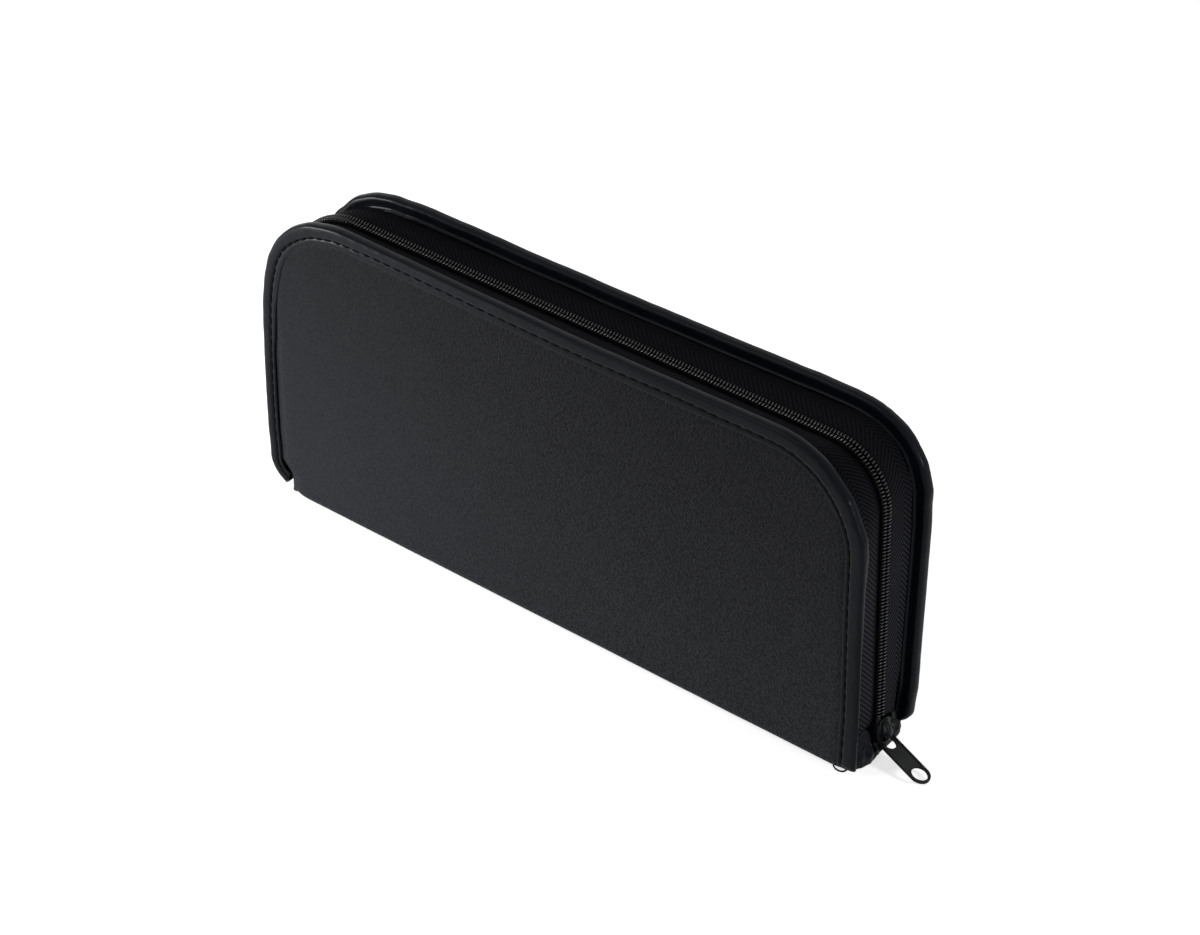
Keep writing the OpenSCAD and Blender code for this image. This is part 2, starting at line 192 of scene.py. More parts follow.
def buildCrumpledGroup():
    # fine crumpled grain: rounded hills, a little longer than tall, with narrow slanting valleys
    group, given, result = newGroup("crumpledGrain", {"Vector": None, "Scale": 900.0}, ("Height", "Valley"))
    spot = addNode(group, "Mapping", vector_type="POINT", Vector=given["Vector"], Scale=(0.8, 1.0, 1.0),
                   Rotation=(0.0, radians(28), 0.0)).outputs[0]
    hills = noiseNode(group, spot, given["Scale"], 1.0, Roughness=0.5, Distortion=0.2)
    cells = addNode(group, "TexVoronoi", feature="SMOOTH_F1", Vector=spot, Scale=given["Scale"], Smoothness=0.4,
                    Randomness=1.0)
    height = mathNode(group, "SUBTRACT", times(group, hills, 1.5),
                      times(group, cells.outputs["Distance"], 0.7))
    setNode(group, result, Height=height, Valley=smoothRange(group, height, 0.52, 0.20))
    return group


def buildChevronGroup():
    # herringbone cloth on a strip's own map: u across in mm, v along in mm
    group, given, result = newGroup("chevronWeave", {"Vector": None, "Rib": 1.15, "Ridge": 6.0, "Slope": 0.9},
                                    ("Height", "Shade"))
    across, along = addNode(group, "SeparateXYZ", Vector=given["Vector"]).outputs[:2]
    fold = mathNode(group, "ABSOLUTE", mathNode(group, "SUBTRACT", across, given["Ridge"]))
    slant = plus(group, along, times(group, fold, given["Slope"]))
    phase = mathNode(group, "DIVIDE", slant, given["Rib"])
    wave = mathNode(group, "SINE", times(group, phase, 2 * pi))
    # the slanting ribs fade into a plain fine weave beside the chain
    rib = times(group, smoothRange(group, wave, -0.75, 0.35), smoothRange(group, across, 13.2, 11.6))
    fuzz = noiseNode(group, given["Vector"], 3.0, 3.0)
    # Shade is painted shade, darkest in the gaps between the ribs, with some random tone
    setNode(group, result, Height=plus(group, rib, times(group, fuzz, 0.6)),
            Shade=weighted(group, rib, 0.75, fuzz, 0.3))
    return group


def buildDustGroup():
    # a few specks of pale lint and soft cloudy handling marks
    group, given, result = newGroup("dustAndRub", {"Vector": None, "Specks": 0.4}, ("Speck", "Rub"))
    dots = addNode(group, "TexVoronoi", Vector=given["Vector"], Scale=55.0, Randomness=1.0).outputs
    pick = addNode(group, "SeparateColor", Color=dots["Color"]).outputs[0]
    speck = times(group, rangeNode(group, dots["Distance"], 0.030, 0.012),
                  mathNode(group, "LESS_THAN", pick, 0.06))
    setNode(group, result, Speck=times(group, speck, given["Specks"]),
            Rub=noiseNode(group, given["Vector"], 22.0, 4.0, Roughness=0.6))
    return group


pebbleGrain = buildPebbleGroup()
crumpledGrain = buildCrumpledGroup()
chevronWeave = buildChevronGroup()
dustAndRub = buildDustGroup()


def useGroup(tree, group, coords, **values):
    return addNode(tree, "Group", node_tree=group, Vector=coords, **values).outputs


def bumpNode(tree, height, strength, depth):
    return addNode(tree, "Bump", Height=height, Strength=strength, Distance=depth).outputs[0]


looks = {}


def addLook(slot, name, values, shade):
    # makes a slot's material; shade returns what goes into its surface
    look = named(values)
    looks[slot] = mat = bpy.data.materials.new(name)
    mat.use_nodes = True
    tree = mat.node_tree
    bsdf = setNode(tree, tree.nodes["Principled BSDF"], Base_Color=look.color, Roughness=look.roughness,
                   Specular_IOR_Level=look.specular)
    coords = tree.nodes.new("ShaderNodeTexCoord").outputs["Object"]
    setNode(tree, bsdf, **shade(tree, coords, look))


# each look: its colour and those it varies between, and the depth of its relief in metres
leatherLook = dict(
    # rubbed is the paler tone of the soft rub clouds and of the painted light towards the spine
    color=(0.0058, 0.0063, 0.0079), rubbed=(0.0262, 0.0276, 0.0312), valley=(0.0009, 0.0010, 0.0014),
    valleyShade=0.42, lint=(0.5, 0.5, 0.48), specks=0.5, grain=1180, depth=0.00034, roughness=0.54,
    specular=0.052, worn=(-0.13, 0.04, 0.28), clouds=(-0.05, 0.10), spineRub=0.85)


def shadeLeather(tree, coords, look):
    grain = useGroup(tree, crumpledGrain, coords, Scale=look.grain)
    dust = useGroup(tree, dustAndRub, coords, Specks=look.specks)
    # rubbed paler in soft clouds, and painted light makes it paler towards the spine; the far end's grain is
    # worn smoother
    x, y, z = addNode(tree, "SeparateXYZ", Vector=coords).outputs
    worn = rangeNode(tree, x, *look.worn)
    rubAndLight = plus(tree, rangeNode(tree, dust["Rub"], 0.35, 0.7, *look.clouds),
               # painted light: paler with less height, towards the spine
               rangeNode(tree, z, 0.14, 0.0, 0.0, look.spineRub))
    tone = mixColor(tree, rubAndLight, look.color, look.rubbed)
    # painted shade: the grain's valleys are darkened in colour, less so at the far end
    valleyShadeMask = times(tree, times(tree, grain["Valley"], worn), look.valleyShade)
    tone = mixColor(tree, valleyShadeMask, tone, look.valley)
    rough = plus(tree, rangeNode(tree, dust["Rub"], 0.3, 0.7, 0.50, 0.58),
                 times(tree, grain["Valley"], 0.12))
    return dict(Base_Color=mixColor(tree, dust["Speck"], tone, look.lint), Roughness=rough,
                Normal=bumpNode(tree, grain["Height"], worn, look.depth))


addLook("leatherette", "grainedLeatherette", leatherLook, shadeLeather)

vinylLook = dict(
    color=(0.0022, 0.0029, 0.0046), rubbed=(0.0042, 0.0053, 0.0078), lint=(0.4, 0.4, 0.4), specks=0.25,
    roughness=0.27, specular=0.035, gloss=0.2, glossRoughness=0.13, glossIndex=1.24, grain=1500, ripples=120,
    strength=0.35, depth=0.0006)


def shadeVinyl(tree, coords, look):
    dust = useGroup(tree, dustAndRub, coords, Specks=look.specks)
    grain = useGroup(tree, pebbleGrain, coords, Scale=look.grain, Uneven=0.5)
    ripples = noiseNode(tree, coords, look.ripples, 3.0, Roughness=0.55)
    height = weighted(tree, ripples, 1.6, grain["Height"], 0.05)
    tone = mixColor(tree, rangeNode(tree, dust["Rub"], 0.35, 0.7), look.color, look.rubbed)
    return dict(Base_Color=mixColor(tree, dust["Speck"], tone, look.lint),
                Roughness=rangeNode(tree, dust["Rub"], 0.3, 0.7, 0.28, 0.42),
                Normal=bumpNode(tree, height, look.strength, look.depth),
                Coat_Weight=look.gloss, Coat_Roughness=look.glossRoughness, Coat_IOR=look.glossIndex)


addLook("binding_vinyl", "smoothVinyl", vinylLook, shadeVinyl)


def stripCoords(tree):
    # the strip's own map holds mm across and mm along
    return tree.nodes.new("ShaderNodeUVMap").outputs["UV"]


tapeLook = dict(
    # rubbed is the painted light down the ends; yarn is the darker top run
    color=(0.006, 0.0062, 0.0075), yarn=(0.0062, 0.0065, 0.0086), rubbed=(0.0250, 0.0258, 0.0305),
    # between is the painted shade in the gaps between the ribs
    between=(0.0005, 0.0005, 0.0007), roughness=0.7, specular=0.03, depth=0.0003, rib=2.4, ridge=5.5,
    slope=1.15, rubbedFrom=(0.135, 0.085))


def shadeTape(tree, coords, look):
    weave = useGroup(tree, chevronWeave, stripCoords(tree), Rib=look.rib, Ridge=look.ridge, Slope=look.slope)
    # painted light and shade: paler down the ends, darker along the top run
    high = addNode(tree, "SeparateXYZ", Vector=coords).outputs[2]
    yarn = mixColor(tree, rangeNode(tree, high, *look.rubbedFrom), look.yarn, look.rubbed)
    return dict(Base_Color=mixColor(tree, weave["Shade"], look.between, yarn),
                Normal=bumpNode(tree, weave["Height"], 1.0, look.depth))


addLook("zip_tape", "herringboneTape", tapeLook, shadeTape)

coilLook = dict(
    color=(0.004, 0.004, 0.005), dark=(0.0005, 0.0005, 0.0007), pale=(0.0012, 0.0012, 0.0016), roughness=0.16,
    hazy=0.26, specular=0.42)


def shadeCoil(tree, coords, look):
    haze = noiseNode(tree, coords, 900.0, 2.0)
    return dict(Base_Color=mixColor(tree, haze, look.dark, look.pale),
                Roughness=rangeNode(tree, haze, 0.3, 0.7, look.roughness, look.hazy))


addLook("zip_coil", "nylonCoil", coilLook, shadeCoil)

threadLook = dict(
    color=(0.001, 0.001, 0.0012), dark=(0.0005, 0.0005, 0.0007), pale=(0.0018, 0.0018, 0.0022), roughness=0.7,
    specular=0.03, strength=0.6, depth=0.0001)


def shadeThread(tree, coords, look):
    strands = addNode(tree, "TexWave", Vector=coords, Scale=900.0, Distortion=1.0, Detail=1.0,
                      bands_direction="DIAGONAL").outputs["Fac"]
    # painted shade: the colour darkens in the grooves between the strands
    return dict(Base_Color=mixColor(tree, strands, look.dark, look.pale),
                Normal=bumpNode(tree, strands, look.strength, look.depth))


addLook("thread", "blackThread", threadLook, shadeThread)

velvetLook = dict(
    color=(0.008, 0.008, 0.0095), dark=(0.0055, 0.0055, 0.0065), pale=(0.013, 0.013, 0.015), roughness=0.85,
    specular=0.15, strength=0.5, depth=0.0003, pile=2600, brushed=38, sheen=0.12, sheenRoughness=0.35)


def shadeVelvet(tree, coords, look):
    brushed = rangeNode(tree, noiseNode(tree, coords, look.brushed, 4.0, Distortion=0.8), 0.4, 0.6)
    return dict(Base_Color=mixColor(tree, brushed, look.dark, look.pale),
                Sheen_Weight=look.sheen, Sheen_Roughness=look.sheenRoughness,
                Normal=bumpNode(tree, noiseNode(tree, coords, look.pile, 2.0), look.strength, look.depth))


addLook("lining_cloth", "velvetLining", velvetLook, shadeVelvet)

elasticLook = dict(
    color=(0.008, 0.008, 0.009), dark=(0.004, 0.004, 0.0045), pale=(0.015, 0.015, 0.017), roughness=0.7,
    specular=0.25, strength=0.7, depth=0.00018, rib=1.1, cross=0.55)


def shadeElastic(tree, coords, look):
    across, along = addNode(tree, "SeparateXYZ", Vector=stripCoords(tree)).outputs[:2]
    rib, cross = [mathNode(tree, "SINE", times(tree, value, 2 * pi / pitch))
                  for value, pitch in ((across, look.rib), (along, look.cross))]
    height = plus(tree, rib, times(tree, cross, 0.35))
    # painted shade: the colour darkens in the troughs of the ribs
    return dict(Base_Color=mixColor(tree, rangeNode(tree, height, -1.0, 1.2), look.dark, look.pale),
                Normal=bumpNode(tree, height, look.strength, look.depth))


addLook("elastic", "ribbedElastic", elasticLook, shadeElastic)

enamelLook = dict(
    color=(0.0034, 0.0040, 0.0046), bare=(0.030, 0.032, 0.035), roughness=0.34, specular=0.09, strength=0.25,
    depth=0.00008)


def shadeEnamel(tree, coords, look):
    # dark satin enamel, rubbed paler on its edges and finely speckled
    cloud = noiseNode(tree, coords, 160.0, 3.0)
    edge = tree.nodes.new("ShaderNodeNewGeometry").outputs["Pointiness"]
    worn = times(tree, rangeNode(tree, edge, 0.53, 0.6), cloud)
    return dict(Base_Color=mixColor(tree, worn, look.color, look.bare),
                Roughness=rangeNode(tree, cloud, 0.3, 0.7, 0.32, 0.46),
                Normal=bumpNode(tree, noiseNode(tree, coords, 1800.0, 3.0), look.strength, look.depth))


addLook("slider_metal", "darkEnamel", enamelLook, shadeEnamel)

boardLook = dict(
    color=(0.022, 0.021, 0.020), dark=(0.014, 0.0135, 0.013), pale=(0.030, 0.029, 0.027), roughness=0.9,
    specular=0.5)


def shadeBoard(tree, coords, look):
    return dict(Base_Color=mixColor(tree, noiseNode(tree, coords, 700.0, 5.0), look.dark, look.pale))


addLook("board", "darkBoard", boardLook, shadeBoard)

for name, node in frame["nodes"].items():
    slot = next(row["material_slot"] for row in frame["record"]["subparts"] if row["node"] == name)
    node.data.materials.clear()
    node.data.materials.append(looks[slot])
print("materials made")


def smoothStep(value, low, high):
    f = min(max((value - low) / (high - low), 0.0), 1.0)
    return f * f * (3 - 2 * f)


def tableAt(points, at, k=1):
    # column k of a table whose rows start with the place they hold at
    for a, b in zip(points, points[1:]):
        if at <= b[0]:
            return a[k] + (b[k] - a[k]) * smoothStep(at, a[0], b[0])
    return points[-1][k]


def coverEdge(side, **changes):
    drop = case.frontDrop if side == "front" else 0.0
    return named(dict(half=case.length / 2, top=case.height, zip=case.zipCorner[side], far=case.farCorner,
                      foot=case.crease - drop, zipFoot=case.zipFoot[side], farFoot=case.farFoot) | changes)


def chainEdge(foot):
    return named(dict(half=case.length / 2 - case.endRecess, top=case.height - case.topRecess,
                      zip=case.chainZip, far=case.chainFar, foot=foot, zipFoot=0.0, farFoot=0.0))


def bothCovers(make, what):
    for side in covers:
        make(side)
    print(what, "made")


footTurn = radians(68)  # how far the edge turns under at a rounded foot


def spans(edge):
    return [edge.zipFoot * footTurn, edge.top - edge.zip - edge.foot - edge.zipFoot,
            edge.zip * pi / 2, 2 * edge.half - edge.zip - edge.far, edge.far * pi / 2,
            edge.top - edge.far - edge.foot - edge.farFoot, edge.farFoot * footTurn]


def edgePoint(edge, run, inset):
    # run is the length along the edge in mm, from the zip end's foot over the top to the far end's foot;
    # gives the place and the outward direction, each as x and z
    lengths = spans(edge)
    k = 0
    while k < 6 and run >= lengths[k]:
        run -= lengths[k]
        k += 1
    f = run / lengths[k] if lengths[k] else 0.0
    half, top, foot = edge.half, edge.top, edge.foot
    if k == 1:
        return half - inset, foot + edge.zipFoot + run, 1.0, 0.0
    if k == 3:
        return half - edge.zip - run, top - inset, 0.0, 1.0
    if k == 5:
        return inset - half, top - edge.far - run, -1.0, 0.0
    r, a = {0: (edge.zipFoot, -footTurn * (1 - f)), 2: (edge.zip, f * pi / 2),
            4: (edge.far, pi / 2 * (1 + f)), 6: (edge.farFoot, footTurn * f + pi)}[k]
    x = half - r if k < 3 else r - half
    z = foot + r if k in (0, 6) else top - r
    return x + (r - inset) * cos(a), z + (r - inset) * sin(a), cos(a), sin(a)


def edgeRuns(edge, step):
    runs, start = [], 0.0
    for length in spans(edge):
        n = max(2, round(length / step)) if length > 0 else 0
        runs += [start + length * i / n for i in range(n)]
        start += length
    return runs + [start]


def twist(side, x, z):
    # the front cover stands a little straighter at its zip end than at its far end
    return 0.0240 * z * smoothStep(x, 0.0, 150.0) if side == "front" else 0.0


def pullIn(side, x, z):
    # the front cover's foot is drawn in at the zip end
    if side != "front":
        return 0.0
    pull = -0.5 - 0.9 * smoothStep(-z, -32.0, -4.0)
    return pull * smoothStep(x, 100.0, 150.0) * smoothStep(-z, -115.0, -75.0)


def onCover(side, x, depth, z):
    return covers[side][0] @ Vector((x + pullIn(side, x, z), depth + twist(side, x, z), z))


def layerSpot(side, s, u, z):
    # a point of a cover's layer, u along the case from 0 to 1, and how far in from the layer's edge it lies
    edge = coverEdge(side)
    half, top = edge.half - s.inset, edge.top - s.inset
    # both ends are drawn in at the foot: by how much, below what height, over what height
    far, near = [half - pull * smoothStep(start - z, 0.0, reach) for pull, start, reach in
                 (s.farFoot, s.zipFoot[side])]
    x = (near + far) * u - far
    rim = min(top - z, x + far, near - x)
    # the square grid is drawn in so that it fills the two rounded corners
    for way, radius in ((1, edge.zip - s.inset), (-1, edge.far - s.inset)):
        a, b = (x * way - (half - radius)) / radius, (z - (top - radius)) / radius
        if a > 0 and b > 0:
            a, b = min(a, 1.0), min(b, 1.0)
            x = way * (half - radius + radius * a * sqrt(1 - b * b / 2))
            z = top - radius + radius * b * sqrt(1 - a * a / 2)
    return x, z, rim


endCurl = dict(
    zipStart=144, zipEnd=154, zipLift=0.8, zipSlope=0.15, farStart=138, farEnd=148, farLift=0.8, fade=15)


def curl(point):
    # the spine's two ends curl up a little off the table, the zip end most at the back
    x, y, z = point
    c = named(endCurl)
    rise = (c.zipLift + c.zipSlope * (y + 13)) * smoothStep(x, c.zipStart, c.zipEnd)
    rise += c.farLift * smoothStep(-x, c.farStart, c.farEnd)
    return Vector((x, y, z + max(rise, 0.0) * max(0.0, 1 - z / c.fade)))


def newPiece(name, bm, look, body=None, more=(), keep=False):
    # a piece replaces the solid of its own name, where there is one, and those in more
    mesh = bpy.data.meshes.new(name)
    bm.to_mesh(mesh)
    bm.free()
    piece = bpy.data.objects.new(name, mesh)
    scene.collection.objects.link(piece)
    mesh.materials.append(looks[look])
    if not keep:  # pieces with flat faces say for themselves which of them are smooth
        for poly in mesh.polygons:
            poly.use_smooth = True
    if body:
        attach(piece, body)
    solid = "".join("_" + c.lower() if c.isupper() else c for c in name)
    stands = [node for node in (solid, *more) if node in frame["nodes"]]
    if stands:
        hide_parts(*stands)
    return piece


def faceOut(bm):
    bmesh.ops.recalc_face_normals(bm, faces=bm.faces)
    return bm


def wrappedGrid(columns, rows, place, mapping=None, closed=True):
    # a grid bent into a strip; a closed strip is welded along its length and capped at both ends
    bm = bmesh.new()
    bmesh.ops.create_grid(bm, x_segments=columns - 1, y_segments=rows - 1, size=0.5, calc_uvs=True)
    layer = bm.loops.layers.uv.verify()
    for face in bm.faces:
        for loop in face.loops:
            i, j = (loop.vert.co.x + 0.5) * (columns - 1), (loop.vert.co.y + 0.5) * (rows - 1)
            loop[layer].uv = mapping(round(i), round(j)) if mapping else (i, j)
    for v in bm.verts:
        v.co = Vector(place(round((v.co.x + 0.5) * (columns - 1)), round((v.co.y + 0.5) * (rows - 1)))) * mm
    if closed:
        bmesh.ops.remove_doubles(bm, verts=bm.verts, dist=1e-7)
        bmesh.ops.holes_fill(bm, edges=[e for e in bm.edges if e.is_boundary], sides=0)
        faceOut(bm)
    return bm


def layerGrid(columns, rows, place, thickness, outward):
    # an open sheet with its thickness on the side away from outward
    bm = faceOut(wrappedGrid(columns, rows, place, closed=False))
    if sum(f.normal.dot(outward) * f.calc_area() for f in bm.faces) < 0:
        bmesh.ops.reverse_faces(bm, faces=bm.faces)
    bmesh.ops.solidify(bm, geom=bm.faces, thickness=thickness * mm)
    return faceOut(bm)


def acrossStrip(j, rows):
    # round a flat strip: how far across it lies, from 0 to 1, and whether it is on the back
    k = j % (2 * rows)
    return (k if k < rows else 2 * rows - 1 - k) / (rows - 1), k >= rows


def ripple(x, z, scale, seed):
    return noise.noise(Vector((x / scale, z / scale, seed)))


cameraFit = dict(
    place=(1.11904, -1.36371, 1.16052), yaw=-39.106, pitch=31.710, roll=1.669, lens=153.665, sensor=36, clip=20)


def placeCamera():
    data = bpy.data.cameras.new("photoCamera")
    data.sensor_width = cameraFit["sensor"]
    data.lens = cameraFit["lens"]
    data.clip_end = cameraFit["clip"]
    camera = bpy.data.objects.new("photoCamera", data)
    scene.collection.objects.link(camera)
    camera.matrix_world = (Matrix.Translation(cameraFit["place"]) @ turn(-cameraFit["yaw"], "Z")
                           @ turn(90 - cameraFit["pitch"], "X") @ turn(cameraFit["roll"], "Z"))
    scene.camera = camera


studio = dict(
    world=0.22, floor=(0.9, 0.9, 0.9), floorLift=0.66, aim=(0, 0, 0.06),
    # name, place, size and power
    lamps=[
        ("leftLamp", (-0.5, -0.35, 0.14), 0.18, 3.1),
        ("topLamp", (-0.25, -0.55, 0.8), 0.5, 1.7),
        ("sideLamp", (1.4, 0.1, 0.6), 0.22, 8.5),
        ("rearLamp", (0.1, 1.1, 0.7), 0.8, 2)])


def backgroundRays(tree):
    # camera, glossy and clear rays all meet the plain white background
    path = tree.nodes.new("ShaderNodeLightPath").outputs
    seen = mathNode(tree, "MAXIMUM", path["Is Camera Ray"], path["Is Transmission Ray"])
    return mathNode(tree, "MAXIMUM", seen, path["Is Glossy Ray"])


def lightStudio():
    world = bpy.data.worlds.new("studioWorld")
    scene.world = world
    world.use_nodes = True
    tree = world.node_tree
    level = times(tree, backgroundRays(tree), 1.0 - studio["world"])
    setNode(tree, tree.nodes["Background"], Color=(1, 1, 1), Strength=plus(tree, level, studio["world"]))
    for name, place, size, power in studio["lamps"]:
        lamp = bpy.data.lights.new(name, "AREA")
        lamp.size = size
        lamp.energy = power
        holder = bpy.data.objects.new(name, lamp)
        holder.location = place
        holder.rotation_euler = (Vector(studio["aim"]) - Vector(place)).to_track_quat("-Z", "Y").to_euler()
        scene.collection.objects.link(holder)


def layFloor():
    bm = bmesh.new()
    bmesh.ops.create_grid(bm, x_segments=8, y_segments=8, size=6.0)
    mesh = bpy.data.meshes.new("floor")
    bm.to_mesh(mesh)
    bm.free()
    floor = bpy.data.objects.new("floor", mesh)
    scene.collection.objects.link(floor)
    mat = bpy.data.materials.new("paleFloor")
    mat.use_nodes = True
    tree = mat.node_tree
    tree.nodes.clear()
    lift = times(tree, backgroundRays(tree), studio["floorLift"])
    both = tree.nodes.new("ShaderNodeAddShader")
    feed(tree, both.inputs[0], addNode(tree, "BsdfDiffuse", Color=studio["floor"]).outputs[0])
    feed(tree, both.inputs[1], addNode(tree, "Emission", Color=(1, 1, 1), Strength=lift).outputs[0])
    addNode(tree, "OutputMaterial", Surface=both.outputs[0])
    mesh.materials.append(mat)


placeCamera()
lightStudio()
layFloor()
print("studio ready")

slack = dict(  # how far each cover's edge strays from its drawn line, as (length along the edge, mm outwards)
    front=[(0, 0), (90, 0), (130, -0.5), (170, -0.3), (300, -0.5), (390, -0.6), (406, -0.6), (417, 0),
           (427, 0.25), (437, 0), (447, -0.6), (457, -1.45), (467, -1.5), (477, -0.5), (487, 0.1), (507, 0.5),
           (522, 0.75), (537, 0.7), (547, 0.2), (560, 0.4), (600, 0.4)],
    rear=[(0, -0.5), (12, -0.1), (26, 0.9), (98, 1.1), (110, 0.4), (122, 0.55), (134, 1.15), (146, 0.6),
          (158, 0.5), (170, 1.1), (182, 1.3), (194, 1), (240, 0.8), (290, 0.65), (302, 1.1), (326, 1),
          (350, 1.5), (362, 1.8), (386, 2), (398, 1.3), (410, 0.75), (422, -0.1), (434, -2.2), (446, -3.4),
          (462, -3.2), (500, -1.5), (560, 0), (600, 0)],
    # short kinks where the strip was pulled round a corner, as (length, mm, reach)
    frontKinks=[(107.9, 0.65, 5), (116, -0.35, 4), (125.9, 0.8, 5), (135, -0.3, 4), (144, 0.45, 5)],
    rearKinks=[(114.3, 0.6, 5), (125.6, 0.7, 4), (133, -0.3, 4), (141.4, 0.6, 5), (186, 0.25, 4)],
    seeds={"front": (1.7, 4.1), "rear": (7.3, 2.9)})


def slackAt(side, run):
    return tableAt(slack[side], run)


def kinkAt(side, run):
    value = sum(h * exp(-abs(run - at) / w) for at, h, w in slack[side + "Kinks"])
    coarse, fine = slack["seeds"][side]
    value += 0.16 * noise.noise(Vector((run / 24.0, coarse, 0)))
    return value + 0.10 * noise.noise(Vector((run / 7.0, fine, 0)))


def edgeAt(edge, t, inset):
    # t counts the five main runs, from 0 at the zip end's foot to 5 at the far end's foot
    lengths = spans(edge)
    k = min(int(t), 4) + 1
    return edgePoint(edge, sum(lengths[:k]) + lengths[k] * (t + 1 - k), inset)


def edgeParts(edge, step):
    values = []
    for k, length in enumerate(spans(edge)[1:6]):
        n = max(3, round(length / step))
        values += [k + i / n for i in range(n)]
    return values + [5.0]


def hingePlace(side):
    c = Matrix.Translation((0, -case.spine / 2, 0)) @ turn(-case.splay, "Z")
    return c if side == "front" else Matrix.Scale(-1, 4, (0, 1, 0)) @ c


def creaseBlend(piece, side, body, low, high):
    # low and high are (distance out from the crease line, height) in mm; the two points they give are not used,
    # and the piece's place is only baked into its mesh
    splay = radians(case.splay)
    sign = covers[side][2]
    out = Vector((-sin(splay), cos(splay) * sign, 0))
    middle = Vector((0, sign * (case.spine / 2 - case.crease), 0))
    ends = [(middle + out * d + Vector((0, 0, z))) * mm for d, z in (low, high)]
    tuple(ends[0])
    tuple(ends[1])
    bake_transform(piece)


skinShape = dict(
    inset=6.6, under=0.92, face=0.22, rise=(2, 3.9), fold=4.78, thickness=0.85, crown=0.45, wave=(0.3, 62),
    dent=(0.12, 17), pucker=(0.1, 2.6), spineSag=0.12, farFoot=(5.9, 19, 9),
    zipFoot={"front": (1, 16, 7), "rear": (2.6, 16, 7)}, spineFar=-146.3,
    spineZip={"front": 153.3, "rear": 152.6}, columns=190, faceRows=84, foldRows=8, spineRows=7)


def makeCoverSkin(side):
    place, body, sign = covers[side]
    s = named(skinShape)
    edge = coverEdge(side)
    half, top, foot = edge.half - s.inset, edge.top - s.inset, case.crease
    hinge = hingePlace(side)
    lean = radians(caseSize[side + "Lean"])
    faceRows, foldRows, spineRows, columns = s.faceRows, s.foldRows, s.spineRows, s.columns
    seed = 3.0 if side == "front" else 9.0

    def faceSpot(u, k):
        x, z, rim = layerSpot(side, s, u, foot + (top - foot) * k / faceRows)
        free = smoothStep(rim, *s.rise)
        y = s.under + (s.face - s.under) * free
        y -= s.crown * free * sin(pi * min(max(z / top, 0), 1)) * cos(x / half * pi / 2)
        y += free * (s.wave[0] * ripple(x, z, s.wave[1], seed)
                     + s.dent[0] * ripple(x, z, s.dent[1], seed + 1))
        # shallow puckers run in from the seam
        y += free * s.pucker[0] * exp(-max(rim - 3.5, 0) / 3.0) * ripple(x, z, s.pucker[1], seed + 2)
        return Vector((x + pullIn(side, x, z), y + twist(side, x, z), z))

    def put(i, j):
        u = i / (columns - 1)
        if j >= foldRows + spineRows:
            return curl(place @ faceSpot(u, j - foldRows - spineRows))
        start = faceSpot(u, 0)
        wide = s.spineFar + (s.spineZip[side] - s.spineFar) * u
        turned = 1.0 if j < spineRows else (foldRows + spineRows - j) / foldRows
        x = start.x + (wide - start.x) * smoothStep(turned, 0.0, 1.0)
        r = s.fold - (start.y - s.face) * (1 - turned)
        a = lean + (pi / 2 - lean) * turned
        spot = hinge @ Vector((x, foot - r * cos(a), foot - r * sin(a)))
        if j < spineRows:
            spot.y *= j / spineRows
            spot.z += s.spineSag * (1 - j / spineRows) * ripple(x, 0, 30.0, seed)
            spot.z = max(spot.z, s.spineSag)
        return curl(spot)

    bm = layerGrid(columns, faceRows + foldRows + spineRows + 1, put, s.thickness, Vector((0, sign, 0)))
    more = [side + "_crease_skin"] + ["spine_skin"] * (side == "front")
    piece = newPiece(side + "CoverSkin", bm, "leatherette", more=more)
    creaseBlend(piece, side, body, (0.0, 0.2), (4.8, 5.0))


bothCovers(makeCoverSkin, "cover skins")

bindingShape = dict(
    # closed profile of the rolled strip: distance inside the outer edge, depth from the outer face
    profile=[(8.75, 0.80), (8.68, 0.42), (8.45, 0.16), (8.1, 0.08), (7.7, 0.06), (7.4, 0.26), (7.05, 0.52),
             (6.7, 0.28), (6.35, 0.08), (5.7, 0), (4.6, -0.03), (3.4, -0.03), (2.2, 0), (1.35, 0.08),
             (0.75, 0.28), (0.3, 0.68), (0.06, 1.25), (0, 2), (0.02, 2.9), (0.12, 3.8), (0.42, 4.5),
             (0.95, 4.95), (1.7, 5.15), (2.6, 5.12), (3.6, 5), (4.6, 4.95), (5.3, 5.06), (5.7, 5.45),
             (6.05, 5.72), (6.35, 5.55), (6.4, 5), (5.95, 4.48), (4.5, 4.42), (2.5, 4.3), (1.1, 3.9),
             (0.85, 2.6), (1.1, 1.1), (2.4, 0.82), (5, 0.8), (8, 0.92)],
    # how many of these the stitches pull in and the seam's wander shifts
    seamPoints=10, facePoints=14, step=1.42, pull=0.11, crease=0.05, gathered=0.16, thickBack=3)
stitchShape = dict(inset=7.05, pitch=5.7, length=4.2, width=1.3, height=0.7, depth=0.30, start=2, sway=5)
seamLine = dict(  # how far the seam and the strip's inner edge wander outwards, as (length along the edge, mm)
    stitch=[(0, 0.4), (90, 0.3), (150, 0.4), (190, 1.1), (220, 1.9), (260, 1.5), (310, 1.6), (340, 2),
            (370, 2.3), (410, 1.4), (425, 1.2), (440, 1.7), (480, 1.8), (520, 2.2), (600, 2.2)],
    edge=[(0, 0), (300, -0.3), (400, 0.2), (430, 0), (460, -0.4), (482, 0.4), (500, 1.7), (600, 1.8)])


def seamShift(run, d, face):
    # the outer face slides most under the seam and not at all near the rim
    atEdge = tableAt(seamLine["edge"], run)
    if not face:
        return atEdge * smoothStep(d, 7.4, 8.0)
    atSeam = tableAt(seamLine["stitch"], run)
    if d > 7.4:
        return atSeam + (atEdge - atSeam) * min(1.0, (d - 7.4) / 0.7)
    return atSeam * min(1.0, max(0.0, (d - 2.2) / 4.15))


def stitchRuns(edge):
    total = sum(spans(edge)) - 2 * stitchShape["start"]
    count = round(total / stitchShape["pitch"])
    return [stitchShape["start"] + (i + 0.5) * total / count for i in range(count)], total / count


